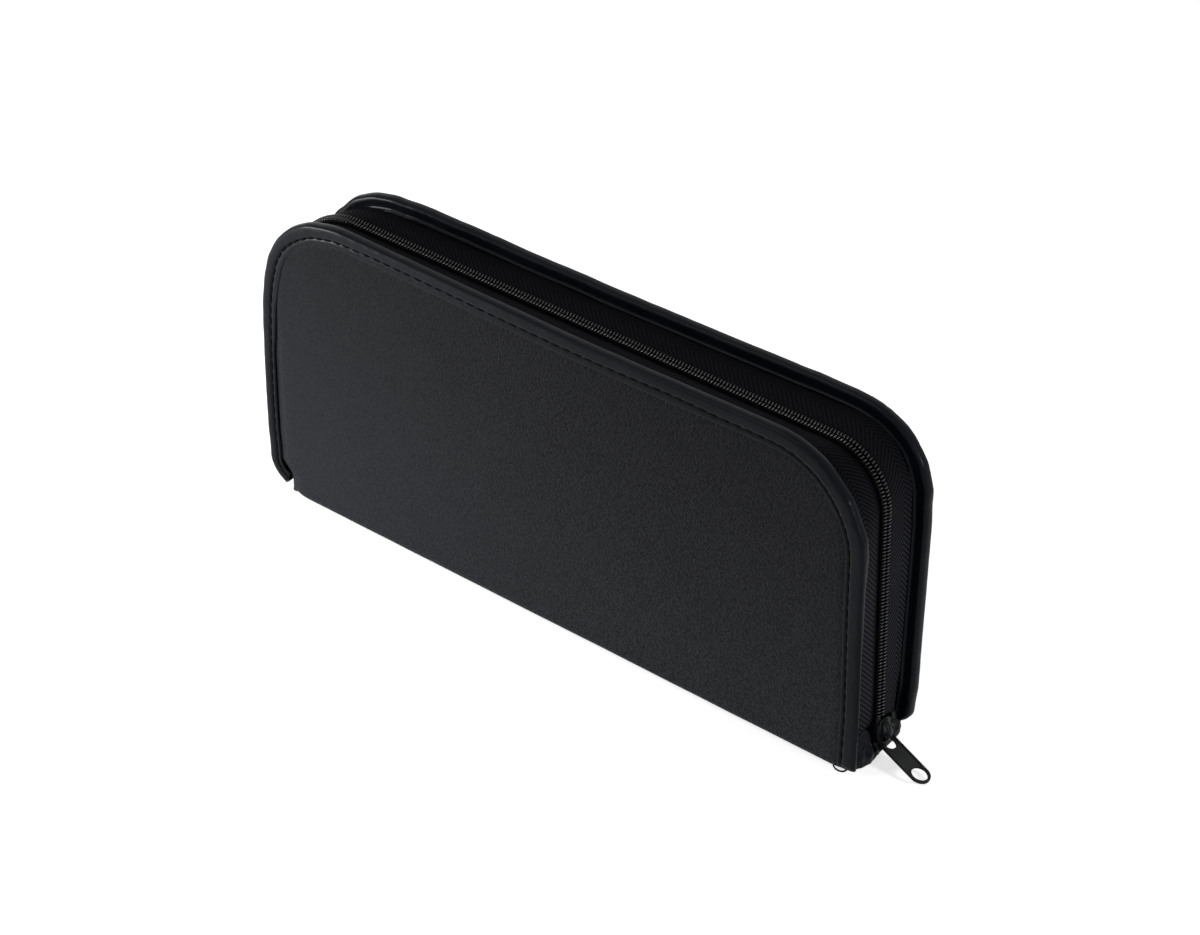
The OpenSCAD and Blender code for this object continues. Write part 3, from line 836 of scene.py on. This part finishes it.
def makeBinding(side):
    place, body = covers[side][:2]
    s = named(bindingShape)
    edge = coverEdge(side)
    runs = edgeRuns(edge, s.step)
    profile = s.profile
    pitch = stitchRuns(edge)[1]
    seed = 5.0 if side == "front" else 10.0
    lengths = spans(edge)
    corner = (sum(lengths[:2]), sum(lengths[:3]))

    def put(i, j):
        j %= len(profile)
        d, depth = profile[j]
        run = runs[i]
        x, z, nx, nz = edgePoint(edge, run, d - seamShift(run, d, j < s.facePoints))
        loose = slackAt(side, run) + kinkAt(side, run) * max(0.0, 1 - d / 6.5)
        # the strip creases where it is gathered round the zip end's corner
        gathered = (smoothStep(run, corner[0] - 12, corner[0] + 6)
                    * smoothStep(-run, -corner[1] - 8, -corner[1] + 8))
        crease = (s.crease + s.gathered * gathered) * noise.noise(
            Vector((run / (3.2 - gathered), d / 4.0, seed)))
        pull = 0.0
        if j < s.seamPoints:
            away = abs(d - stitchShape["inset"])
            wave = cos(2 * pi * (run - stitchShape["start"]) / pitch)
            pull = s.pull * max(0.0, 1 - away / 1.1) * (0.5 + 0.5 * wave)
            crease *= min(1.0, away / 1.5)
        x += nx * loose
        z += nz * loose
        if side == "front" and depth > 0.5:  # squeezed thinner towards the zip end's foot
            squeeze = 0.34 * smoothStep(-run, -110.0, -80.0) + 0.31 * smoothStep(-run, -75.0, -45.0)
            depth = 0.5 + (depth - 0.5) * (1 - squeeze)
        crease *= smoothStep(run, 0.0, 8.0)
        depth += pull + crease * (1.0 if depth < s.thickBack else 1.6) + twist(side, x, z)
        return curl(place @ Vector((x + pullIn(side, x, z), depth, z)))

    bm = wrappedGrid(len(runs), len(profile) + 1, put, lambda i, j: (j, runs[min(i, len(runs) - 1)]))
    newPiece(side + "Binding", bm, "binding_vinyl", body)


bothCovers(makeBinding, "bindings")


def makeStitches(side):
    place, body = covers[side][:2]
    s = named(stitchShape)
    edge = coverEdge(side)
    rng = random.Random(5 if side == "front" else 6)
    size = Matrix.Diagonal((s.length / 2, s.width / 2, s.height / 2, 1))
    bm = bmesh.new()
    for run in stitchRuns(edge)[0]:
        x, z, nx, nz = edgePoint(edge, run, s.inset - tableAt(seamLine["stitch"], run))
        x, z = x + nx * slackAt(side, run), z + nz * slackAt(side, run)
        spot = (Matrix.Translation(curl(onCover(side, x, s.depth, z))) @ place.to_3x3().to_4x4()
                @ framed((-nz, 0, nx), (nx, 0, nz), (0, -1, 0)))
        lean = turn(rng.uniform(-s.sway, s.sway), "Z")
        bmesh.ops.create_uvsphere(bm, u_segments=8, v_segments=6, radius=1.0,
                                  matrix=Matrix.Scale(mm, 4) @ spot @ lean @ size @ turn(90, "Y"))
    newPiece(side + "BindingStitches", faceOut(bm), "thread", body)


bothCovers(makeStitches, "stitches")

tapeShape = dict(
    rows=14, foot=12, thickness=0.55, bow=1, step=3, edgeGap=1.75, rootInset=6.4, rootDepth=4.9, frontRise=2.4,
    width=15, underCoil=0.15, length=565,
    # heights of the zip end's cut at the chain and at the cover
    ends={"front": (18.6, 12.5), "rear": (18, 14.5)})


def lengthAt(edge, x, z):
    # how far along the chain a point of the tape lies, in mm, so that the weave stays square to the chain
    zipX, zipZ = edge.half - edge.zip, edge.top - edge.zip
    farX, farZ = edge.far - edge.half, edge.top - edge.far
    quarter = pi / 2
    if x > zipX:
        return z if z < zipZ else zipZ + edge.zip * atan2(z - zipZ, x - zipX)
    top = zipZ + edge.zip * quarter
    if x > farX:
        return top + zipX - x
    top += zipX - farX
    if z > farZ:
        return top + edge.far * atan2(farX - x, z - farZ)
    return top + edge.far * quarter + farZ - z


def makeTape(side):
    body, sign = covers[side][1:]
    s = named(tapeShape)
    chain = chainEdge(s.foot)
    parts = edgeParts(chain, s.step)
    drop = case.coilHeight + s.underCoil
    endChain, endCover = s.ends[side]

    def middle(t, u):
        # u runs from 0 at the cover to 1 at the chain
        foot = endCover + (endChain - endCover) * u
        ax, az, nx, nz = edgeAt(chainEdge(foot), t, drop)
        chainSpot = chainPlace @ Vector((ax, sign * s.edgeGap, az))
        bx, bz, bnx, bnz = edgeAt(coverEdge(side, foot=foot, zipFoot=0.0, farFoot=0.0), t, s.rootInset)
        loose = slackAt(side, t / 5 * s.length)
        bx, bz = bx + bnx * loose, bz + bnz * loose
        root = s.rootDepth
        if side == "front":
            root -= s.frontRise * smoothStep(-bz, -110.0, -50.0) * smoothStep(bx, 120.0, 150.0)
        bow = s.bow * sin(pi * u) * (0.6 + 0.5 * ripple(t * 110, 0, 40.0, sign * 3.0))
        out = Vector((nx, 0, nz))
        return onCover(side, bx, root, bz).lerp(chainSpot, u) + out * bow, out

    def put(i, j):
        u, back = acrossStrip(j, s.rows)
        spot, out = middle(parts[i], u)
        return spot + out * (-s.thickness if back else 0.0)

    def mapping(i, j):
        u = acrossStrip(j, s.rows)[0]
        spot = middle(parts[min(i, len(parts) - 1)], u)[0]
        return u * s.width, lengthAt(chain, spot.x, spot.z)

    bm = wrappedGrid(len(parts), 2 * s.rows + 1, put, mapping)
    newPiece(side + "ZipTape", bm, "zip_tape", body)


bothCovers(makeTape, "tapes")

coilShape = dict(
    pitch=1.6, tooth=(1.36, 0.44, 0.95), swell=0.22, foot=18.9, inset=0.95, aside=1.42, slant=7,
    cord=(0.6, 1.2), cordInset=1.5, cordAside=1.7, cordStep=3)


def makeCoil(side):
    body, sign = covers[side][1:]
    s = named(coilShape)
    edge = chainEdge(s.foot)
    tooth = bmesh.new()
    bmesh.ops.create_uvsphere(tooth, u_segments=8, v_segments=6, radius=1.0)
    for v in tooth.verts:  # the head beside the chain's middle is fuller than the heel on the tape
        swell = 1.0 - s.swell * v.co.x * sign
        v.co = Vector((v.co.x * s.tooth[0], v.co.y * s.tooth[1] * swell, v.co.z * s.tooth[2]))
    toothMesh = bpy.data.meshes.new("tooth")
    tooth.to_mesh(toothMesh)
    tooth.free()
    bm = bmesh.new()
    shift = 0.25 if sign > 0 else 0.75  # the two rows' teeth lie between each other
    for i in range(int(sum(spans(edge)) / s.pitch)):
        x, z, nx, nz = edgePoint(edge, (i + shift) * s.pitch, s.inset)
        spot = framed((0, 1, 0), (-nz, 0, nx), (nx, 0, nz), (x, sign * s.aside, z))
        first = len(bm.verts)
        bm.from_mesh(toothMesh)
        bm.verts.ensure_lookup_table()
        bmesh.ops.transform(bm, matrix=Matrix.Scale(mm, 4) @ chainPlace @ spot @ turn(sign * s.slant, "Z"),
                            verts=bm.verts[first:])
    bpy.data.meshes.remove(toothMesh)
    newPiece(side + "ZipCoil", faceOut(bm), "zip_coil", body)

    # the filler cord inside the coil
    runs = edgeRuns(edge, s.cordStep)

    def cordSpot(i, j):
        x, z, nx, nz = edgePoint(edge, runs[i], s.cordInset)
        a = j % 8 * pi / 4
        return chainPlace @ (Vector((x, sign * s.cordAside, z)) + Vector((nx, 0, nz)) * s.cord[0] * sin(a)
                             + Vector((0, 1, 0)) * s.cord[1] * cos(a))

    newPiece(side + "CoilCord", wrappedGrid(len(runs), 9, cordSpot), "thread", body)


bothCovers(makeCoil, "coil")

sliderShape = dict(
    face=157.6, plate=1.2, inner=151.35, low=7.2, high=18.9, half=4.3, edge=0.36, flange=(1.3, 0.1, 1.6),
    flangeStart=154.2, post=(1.3, 0.6), boss=1.8)
bailShape = dict(
    middle=(157.4, -0.9, 13.2), reach=3.2, rise=4.5, width=2.6, thickness=1.15, aside=0.4, steps=24, round=12)
pullerShape = dict(
    eye=(158.9, 1.35, 9.3), hole=(177.5, -0.9, 2.65), roll=4, half=4.7, holeRadius=3.5, slot=2.6, slotEnd=4.9,
    top=-3.5, thickness=0.9, rim=1, rimHeight=0.28)


def cutPlate(bm, loops, low, high, edge, place):
    # a flat plate between two levels, with an outline and any holes given as loops; its rims are rounded
    plate = bmesh.new()
    edges = []
    for loop in loops:
        verts = [plate.verts.new((x, y, low)) for x, y in loop]
        edges += [plate.edges.new(pair) for pair in zip(verts, verts[1:] + verts[:1])]
    bmesh.ops.triangle_fill(plate, use_beauty=True, use_dissolve=False, edges=edges)
    made = bmesh.ops.extrude_face_region(plate, geom=plate.faces[:])["geom"]
    raised = [v for v in made if isinstance(v, bmesh.types.BMVert)]
    bmesh.ops.translate(plate, vec=(0, 0, high - low), verts=raised)
    faceOut(plate)
    rims = [e for e in plate.edges
            if abs(e.verts[0].co.z - e.verts[1].co.z) < 0.01 and e.calc_face_angle(0) > 0.9]
    bmesh.ops.bevel(plate, geom=rims, offset=edge, segments=3, profile=0.5, affect="EDGES", material=-1)
    for face in plate.faces:
        face.smooth = abs(face.normal.z) < 0.999
    bmesh.ops.transform(plate, matrix=Matrix.Scale(mm, 4) @ place, verts=plate.verts)
    mesh = bpy.data.meshes.new("plate")
    plate.to_mesh(mesh)
    plate.free()
    bm.from_mesh(mesh)
    bpy.data.meshes.remove(mesh)


def arc(x, y, radius, start, end, count):
    angles = [radians(start + (end - start) * i / count) for i in range(count + 1)]
    return [(x + radius * cos(a), y + radius * sin(a)) for a in angles]


def roundedLoop(corners, radius):
    # replaces each corner of a convex outline by a small curve
    loop = []
    for before, corner, after in zip(corners[-1:] + corners[:-1], corners, corners[1:] + corners[:1]):
        c = Vector(corner)
        a, b = (Vector(before) - c).normalized(), (Vector(after) - c).normalized()
        for k in range(6):
            f = k / 5
            loop.append(tuple(c + (a * (1 - f) ** 2 + b * f ** 2) * radius))
    return loop


def makeSliderBody():
    s = named(sliderShape)
    low, high, half = s.low, s.high, s.half
    bm = bmesh.new()
    # a plate's own frame: across the chain, up, outwards
    place = chainPlace @ framed((0, 1, 0), (0, 0, 1), (1, 0, 0))

    def addPlate(corners, radius, start, end, edge):
        cutPlate(bm, [roundedLoop(corners, radius)], start, end, edge, place)

    outline = [(-half + 1.2, low), (half - 1.2, low), (half, low + 3.4), (half - 0.3, high - 3.4),
               (half - 1.5, high), (-half + 1.5, high), (-half + 0.3, high - 3.4), (-half, low + 3.4)]
    for level in (s.face - s.plate, s.inner):
        addPlate(outline, 1.0, level, level + s.plate, s.edge)
    thick, gap, short = s.flange
    for way in (-1, 1):  # flanges that close over the coil
        flange = [(way * (half - thick), low + short), (way * (half - gap), low + short),
                  (way * (half - gap), high - short), (way * (half - thick), high - short)]
        addPlate(flange, 0.4, s.flangeStart, s.face - 0.4, 0.2)
    wide, thin = s.post
    addPlate([(-wide, low + 0.4), (wide, low + 0.4), (thin, low + 3.8), (-thin, low + 3.8)], 0.3,
             s.inner + 0.8, s.face - 0.6, 0.1)
    wide = s.boss
    addPlate([(-wide, low + 0.8), (wide, low + 0.8), (wide, high - 0.5), (-wide, high - 0.5)], 0.9,
             s.face - 0.5, s.face + 0.5, 0.3)
    newPiece("sliderBody", bm, "slider_metal", "slider", keep=True)


def makeBail():
    s = named(bailShape)
    x, y, z = s.middle
    wide, thick = s.width / 2, s.thickness / 2

    def put(i, j):
        a = -pi / 2 + pi * i / s.steps
        k = j % s.round * 2 * pi / s.round
        # a flat strip with round edges
        aside = wide * copysign(abs(cos(k)) ** 0.6, cos(k))
        out = thick * copysign(abs(sin(k)) ** 0.8, sin(k))
        return chainPlace @ Vector((x + (s.reach + out) * cos(a), y + aside + s.aside,
                                    z + (s.rise + out) * sin(a)))

    bm = wrappedGrid(s.steps + 1, s.round + 1, put)
    newPiece("sliderBail", bm, "slider_metal", "slider")


def makePuller():
    s = named(pullerShape)
    eye, hole = Vector(s.eye), Vector(s.hole)
    ahead = (hole - eye).normalized()
    across = Vector((0, 0, 1)).cross(ahead).normalized()
    place = framed(ahead, across, ahead.cross(across), eye) @ turn(-s.roll, "X")
    length, half = (hole - eye).length, s.half

    def outline(inset):
        r = half - inset
        middle = s.top + inset + r * 0.92
        upper = [(middle + (x - middle) * 0.92, y) for x, y in arc(middle, 0, r, 90, 270, 18)]
        return arc(length, 0, r, -90, 90, 20) + [(length * 0.5, r)] + upper + [(length * 0.5, -r)]

    def ring(more):
        return arc(length, 0, s.holeRadius + more, 0, 345, 23)

    slot = s.slot
    slotLoop = [(-1.7, -slot), (-1.9, -slot + 0.4), (-1.9, slot - 0.4), (-1.7, slot)]
    slotLoop += arc(s.slotEnd - slot, 0, slot, 90, -90, 14)
    bm = bmesh.new()
    t = s.thickness / 2
    cutPlate(bm, [outline(0), ring(0), slotLoop], -t, t, 0.2, place)
    cutPlate(bm, [outline(0.05), outline(s.rim)], t - 0.1, t + s.rimHeight, 0.14, place)
    cutPlate(bm, [ring(0.75), ring(0.05)], t - 0.1, t + s.rimHeight, 0.1, place)
    newPiece("sliderPuller", bm, "slider_metal", "puller", keep=True)


makeSliderBody()
makeBail()
makePuller()
print("slider made")

liningShape = dict(
    inset=5.7, depth=4.38, bend=9, spine=3.72, thickness=0.6, columns=90, rows=60, bendRows=8, spineRows=6,
    farFoot=(7.3, 19, 9), zipFoot={"front": (1, 18, 9), "rear": (4, 18, 9)}, wave=(0.06, 25),
    spineEnds=(-146.5, 152), bendEnd=9.4, cut=(0.309, 0.149), cutArea=0.0449)


def makeLining(side):
    place, body, sign = covers[side]
    s = named(liningShape)
    top = case.height - s.inset
    hinge = hingePlace(side)
    rows, bendRows, spineRows, columns = s.rows, s.bendRows, s.spineRows, s.columns

    def faceSpot(u, k):
        x, z = layerSpot(side, s, u, s.bend + (top - s.bend) * k / rows)[:2]
        y = s.depth + s.wave[0] * ripple(x, z, s.wave[1], sign * 4.0)
        return Vector((x, y + twist(side, x, z), z))

    def put(i, j):
        u = i / (columns - 1)
        if j >= bendRows + spineRows:
            return curl(place @ faceSpot(u, j - bendRows - spineRows))
        x = s.spineEnds[0] + (s.spineEnds[1] - s.spineEnds[0]) * u
        a = place @ faceSpot(u, 0)
        b = hinge @ Vector((x, s.depth + 0.3, s.spine))
        c = hinge @ Vector((x, s.bendEnd, s.spine))
        if j >= spineRows:
            f = (bendRows + spineRows - j) / bendRows
            return curl(a * (1 - f) ** 2 + b * 2 * f * (1 - f) + c * f * f)
        c.y *= j / spineRows
        return curl(c)

    bm = layerGrid(columns, rows + bendRows + spineRows + 1, put, s.thickness, Vector((0, -sign, 0)))
    piece = newPiece(side + "Lining", bm, "lining_cloth", more=["spine_lining"] * (side == "front"))
    creaseBlend(piece, side, body, (-2.0, 3.2), (0.8, 8.5))


bothCovers(makeLining, "linings")

boardShape = dict(
    inset=3.2, foot=8, farFoot=(8, 19, 9), zipFoot={"front": (7, 19, 9), "rear": (7, 19, 9)}, depth=2.1,
    thickness=1.3, columns=60, rows=40, spineEnds=(-145.8, 153), spineGap=0.3, spineHeight=2.75,
    spineThickness=1.5, spineRows=8)


def makeBoard(side):
    body, sign = covers[side][1:]
    s = named(boardShape)
    top = case.height - s.inset

    def put(i, j):
        z = s.foot + (top - s.foot) * j / (s.rows - 1)
        x, z = layerSpot(side, s, i / (s.columns - 1), z)[:2]
        return curl(onCover(side, x, s.depth, z))

    bm = layerGrid(s.columns, s.rows, put, s.thickness, Vector((0, sign, 0)))
    newPiece(side + "Board", bm, "board", body)


bothCovers(makeBoard, "boards")


def makeSpineBoard():
    s = named(boardShape)
    start, end = s.spineEnds
    slope = tan(radians(case.splay))

    def put(i, j):
        x = start + (end - start) * i / (s.columns - 1)
        edgeY = case.spine / 2 - case.crease + x * slope - s.spineGap
        return curl(Vector((x, edgeY * (2 * j / (s.spineRows - 1) - 1), s.spineHeight)))

    bm = layerGrid(s.columns, s.spineRows, put, s.spineThickness, Vector((0, 0, 1)))
    newPiece("spineBoard", bm, "board", "spine")


makeSpineBoard()

loopShape = dict(
    count=7, pitch=30, width=21, height=9, band=22, tab=6, thickness=0.9, rows=6, turns=12, squeeze=0.5,
    clear=0.05, lower=34, upper=92, stitch=(0.3, 0.22, 0.95), stitchCount=9, stitchStart=1.8, stitchPitch=2.3)


def makeElastic(side, level):
    place, body = covers[side][:2]
    s = named(loopShape)
    n, pitch, wide, rows = s.count, s.pitch, s.width / 2, s.rows
    half = (n - 1) * pitch / 2
    line = [(-half - wide - s.tab, 0.0)]
    for i in range(n):
        for k in range(s.turns + 1):
            a = pi * k / s.turns
            line.append((i * pitch - half - (wide - 0.3) * cos(a), (s.height - 1.0) * sin(a) ** 0.8))
    line.append((half + wide + s.tab, 0.0))

    def put(i, j):
        x, lift = line[i]
        u, back = acrossStrip(j, rows)
        squeeze = s.squeeze * sin(pi * u) * min(lift / 6.0, 1.0)
        z = loopShape[level] + u * s.band
        y = case.lining + s.clear + lift + squeeze + (0.0 if back else s.thickness)
        return place @ Vector((x, y + twist(side, x, z), z))

    bm = wrappedGrid(len(line), 2 * rows + 1, put,
                     lambda i, j: (acrossStrip(j, rows)[0] * s.band, line[min(i, len(line) - 1)][0] * 1.3))
    name = side + level.capitalize() + "Elastic"
    newPiece(name, bm, "elastic", body)

    # a bar of stitches across the band between two loops, and one on each end
    bm = bmesh.new()
    size = Matrix.Diagonal((*s.stitch, 1))
    for i in range(n + 1):
        x = (i - 0.5) * pitch - half
        if i in (0, n):
            x = (-1 if i == 0 else 1) * (half + wide + s.tab * 0.55)
        for k in range(s.stitchCount):
            z = loopShape[level] + s.stitchStart + k * s.stitchPitch
            spot = Matrix.Translation((x, case.lining + s.clear + s.thickness + twist(side, x, z), z))
            bmesh.ops.create_icosphere(bm, subdivisions=1, radius=1.0,
                                       matrix=Matrix.Scale(mm, 4) @ place @ spot @ size)
    newPiece(name + "Stitches", faceOut(bm), "thread", body)


for side in covers:
    for level in ("lower", "upper"):
        makeElastic(side, level)
print("pen loops made")

gusset = dict(  # the gathered strip at each end, as (across, lower edge, upper edge, bulge) in mm
    zip=[(-17, 1.8, 13.4, 1.2), (-13, 0.5, 14, 1.6), (-9, 0.3, 15, 2.6), (-5.6, 0.5, 15.8, 3.4),
         (-3.8, 1.1, 14, 3.4), (-2.2, 1.7, 8, 3.3), (-0.5, 1.9, 6.4, 3), (5, 2.2, 6.4, 2.6), (7.6, 2.5, 9, 2.3),
         (10, 2.9, 13, 2.2), (13, 3.4, 15.2, 2), (16.8, 4.6, 15.6, 1.8)],
    far=[(-10.6, 0.9, 9, 2.4), (-6, 0.8, 7.4, 2.4), (0, 0.8, 6.8, 2.4), (6, 0.8, 7.4, 2.4),
         (10.6, 0.9, 9, 2.4)],
    face={"zip": 153.5, "far": -147.4}, depth=1.3, creases=1.15, rounding=2.2, columns=72, rows=18,
    # folds as (size, weight)
    folds=((5.2, 1), (2.6, 0.5), (1.4, 0.2)))


def makeGusset(end):
    stations = gusset[end]
    columns, rows = gusset["columns"], gusset["rows"]
    way = 1 if end == "zip" else -1
    first, last = stations[0][0], stations[-1][0]

    def put(i, j):
        y = first + (last - first) * i / (columns - 1)
        low, high, bulge = (tableAt(stations, y, k) for k in (1, 2, 3))
        near = min(1.0, min(y - first, last - y) / gusset["rounding"])
        fall = gusset["rounding"] * (1 - sqrt(1 - (1 - near) ** 2))  # both ends are rounded off
        low, high, bulge = low + 0.6 * fall, high - fall, bulge - fall
        f, back = acrossStrip(j, rows)
        ridge = 0.0
        for n, (scale, weight) in enumerate(gusset["folds"]):
            spot = Vector((y / scale, f * (high - low) / scale * 0.8, 3.0 + n * 5))
            ridge += weight * (0.5 - abs(noise.noise(spot)) * 2)
        fade = sin(pi * (0.1 + 0.8 * f))
        x = gusset["face"][end] + way * (bulge * (1 - (f - 0.2) ** 2 / 0.64) + gusset["creases"] * ridge * fade
                                         - (gusset["depth"] if back else 0.0))
        z = low + (high - low) * f + 0.4 * ridge * sin(pi * f)
        return Vector((x, y + 0.35 * ridge, max(z, 0.2)))

    bm = wrappedGrid(columns, 2 * rows + 1, put)
    newPiece(end + "EndSpineBinding", bm, "binding_vinyl", "spine")


makeGusset("zip")
makeGusset("far")

tailShape = dict(
    middle=(150, -16.2, 0.4), loop=(3.1, 1.2, 0.9), start=-15, turn=200, steps=24, sides=6, radius=0.36)


def makeThreadTail():
    # a loose end of the seam's thread at the front foot
    s = named(tailShape)
    (x, y, z), (long, wide, high) = s.middle, s.loop

    def path(i):
        a = radians(s.turn * i / (s.steps - 1) + s.start)
        return Vector((x + long * cos(a), y - wide * sin(a), z + high * abs(cos(a)) ** 3))

    def put(i, j):
        a = j % s.sides * 2 * pi / s.sides
        ahead = (path(i + 0.5) - path(i - 0.5)).normalized()
        aside = ahead.cross(Vector((0, 0, 1))).normalized()
        return path(i) + (aside * cos(a) + aside.cross(ahead) * sin(a)) * s.radius

    newPiece("threadTail", wrappedGrid(s.steps, s.sides + 1, put), "thread", "front_leaf")


makeThreadTail()
print("spine ends made")
